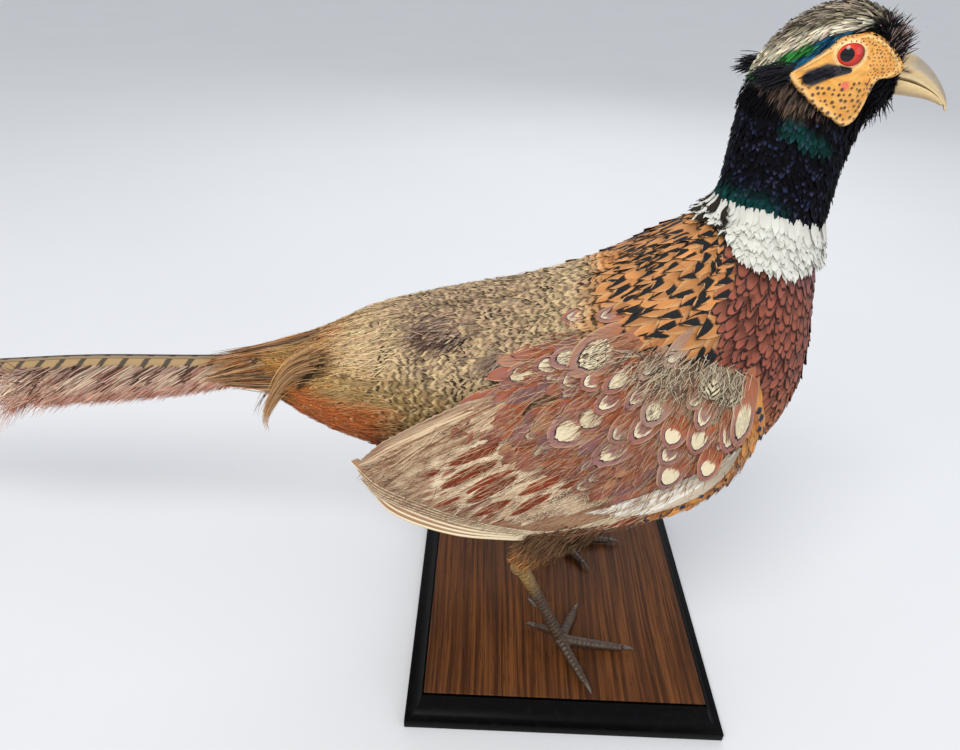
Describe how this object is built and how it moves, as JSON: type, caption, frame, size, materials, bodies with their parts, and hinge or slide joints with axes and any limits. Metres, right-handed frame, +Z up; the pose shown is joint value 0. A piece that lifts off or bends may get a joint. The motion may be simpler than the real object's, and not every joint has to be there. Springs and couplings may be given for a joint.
{
  "type": "mounted cock pheasant",
  "caption": "Life-size mounted cock ring-necked pheasant standing on a square wooden board, wings folded, long tail out behind.",
  "frame": {"origin": "centre of the square board's underside", "axes": "+Z up, +X the way the bird looks, +Y to its left side"},
  "size_m": [0.7841, 0.2, 0.4064],
  "materials": {
    "plinth_lacquer": "black lacquer, semi gloss",
    "walnut_panel": "polished walnut, satin",
    "head_plumage": "short matt feathers with a green gloss",
    "neck_plumage": "glossy blue-black feathers, white collar",
    "body_plumage": "copper feathers with dark edges",
    "rump_plumage": "soft loose feathers, olive and rust",
    "wing_plumage": "covert feathers, chestnut and cream",
    "flight_plumage": "stiff flight feathers, barred grey-tan",
    "tail_plumage": "long barred feathers with loose edges",
    "thigh_plumage": "soft rusty feathers",
    "ear_plumage": "black glossy tuft",
    "face_skin": "grained bare skin",
    "eye_glass": "glossy glass eye",
    "bill_horn": "smooth horn",
    "leg_scales": "scaled skin, satin",
    "claw_horn": "dark horn"
  },
  "bodies": {
    "root": {"base_board": "plinth_lacquer", "base_panel": "walnut_panel", "head": "head_plumage", "neck": "neck_plumage", "trunk": "body_plumage", "rump": "rump_plumage", "bill_upper": "bill_horn", "bill_lower": "bill_horn", "eye_right": "eye_glass", "face_right": "face_skin", "ear_tuft_right": "ear_plumage", "wing_coverts_right": "wing_plumage", "secondaries_right": "wing_plumage", "primaries_right": "flight_plumage", "thigh_right": "thigh_plumage", "tarsus_right": "leg_scales", "spur_right": "bill_horn", "foot_right": "leg_scales", "tail_middle_right": "tail_plumage", "tail_outer_right": "tail_plumage", "claw_middle_right": "claw_horn", "claw_outer_right": "claw_horn", "claw_inner_right": "claw_horn", "claw_hind_right": "claw_horn", "eye_left": "eye_glass", "face_left": "face_skin", "ear_tuft_left": "ear_plumage", "wing_coverts_left": "wing_plumage", "secondaries_left": "wing_plumage", "primaries_left": "flight_plumage", "thigh_left": "thigh_plumage", "tarsus_left": "leg_scales", "spur_left": "bill_horn", "foot_left": "leg_scales", "tail_middle_left": "tail_plumage", "tail_outer_left": "tail_plumage", "claw_middle_left": "claw_horn", "claw_outer_left": "claw_horn", "claw_inner_left": "claw_horn", "claw_hind_left": "claw_horn"}
  },
  "joints": []
}
